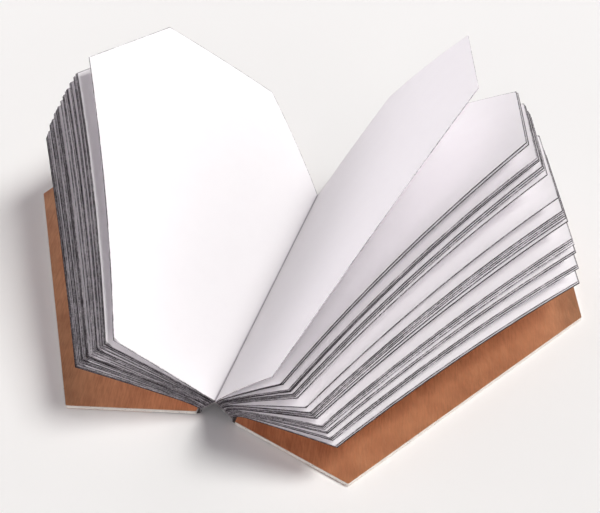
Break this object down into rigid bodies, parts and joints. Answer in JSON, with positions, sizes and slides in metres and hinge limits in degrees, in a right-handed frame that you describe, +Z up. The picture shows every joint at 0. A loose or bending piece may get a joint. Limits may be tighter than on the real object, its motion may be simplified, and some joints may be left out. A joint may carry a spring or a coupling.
{
  "type": "hand-bound journal",
  "caption": "Open hexagonal journal with fanned thick pages on an arched back and copper-faced hinged covers.",
  "frame": {"origin": "on the floor under the middle of the open book", "axes": "+X from the spine towards the back cover, +Y along the spine from tail to head, +Z up"},
  "size_m": [0.3054, 0.214, 0.1265],
  "materials": {
    "paper": "thick smooth white paper, its cut edges rubbed with graphite",
    "copper": "copper sheet, sanded with fine diagonal scratches",
    "board": "raw cream bookboard",
    "cloth": "dark plain-weave book cloth"
  },
  "bodies": {
    "text_block": {"pages": "paper", "spine_cloth": "cloth"},
    "front_cover": {"front_board": "board", "front_copper_inside": "copper", "front_copper_outside": "copper", "front_hinge_cloth": "cloth"},
    "back_cover": {"back_board": "board", "back_copper_inside": "copper", "back_copper_outside": "copper", "back_hinge_cloth": "cloth"}
  },
  "joints": [
    {"name": "front_cover_hinge", "type": "hinge", "parent": "text_block", "child": "front_cover", "pos_m": [-0.00793, 0, 0.00015], "axis": [0, 1, 0], "range_deg": [-90, 13.5]},
    {"name": "back_cover_hinge", "type": "hinge", "parent": "text_block", "child": "back_cover", "pos_m": [0.00793, 0, 0.00015], "axis": [0, -1, 0], "range_deg": [-90, 5.5]}
  ]
}
